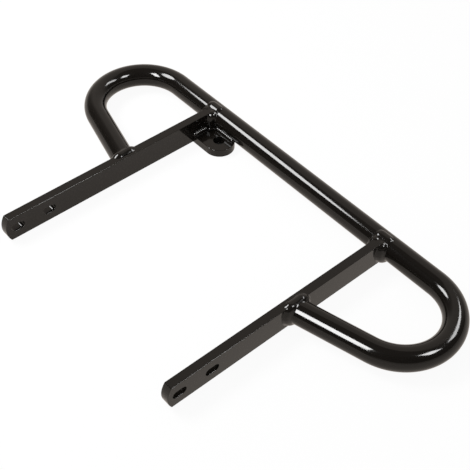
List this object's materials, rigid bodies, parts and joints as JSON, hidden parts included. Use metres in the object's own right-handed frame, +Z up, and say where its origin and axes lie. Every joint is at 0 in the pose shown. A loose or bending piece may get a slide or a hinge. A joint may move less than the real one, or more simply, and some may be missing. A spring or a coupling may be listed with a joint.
{
  "type": "atv rear grab bar",
  "caption": "Welded steel rear grab bar: a bent round tube with a hand loop at each end, two flat slotted mounting arms and a drilled corner tab, all in gloss black powder coat.",
  "frame": {"origin": "centre of the part's box at its lowest plane, under the lower edges of the two arms", "axes": "+X along the crossbar, +Y from the arms' noses towards the crossbar, +Z up, square to the plane that the arms lie in"},
  "size_m": [0.53, 0.294, 0.0312],
  "materials": {
    "coated_steel": "gloss black powder coat",
    "coated_weld": "gloss black powder coat over weld beads"
  },
  "bodies": {
    "root": {"grab_tube": "coated_steel", "left_arm": "coated_steel", "right_arm": "coated_steel", "corner_tab": "coated_steel", "left_root_weld": "coated_weld", "right_root_weld": "coated_weld", "left_return_weld": "coated_weld", "right_return_weld": "coated_weld", "tab_arm_weld": "coated_weld", "tab_tube_weld": "coated_weld"}
  },
  "joints": []
}
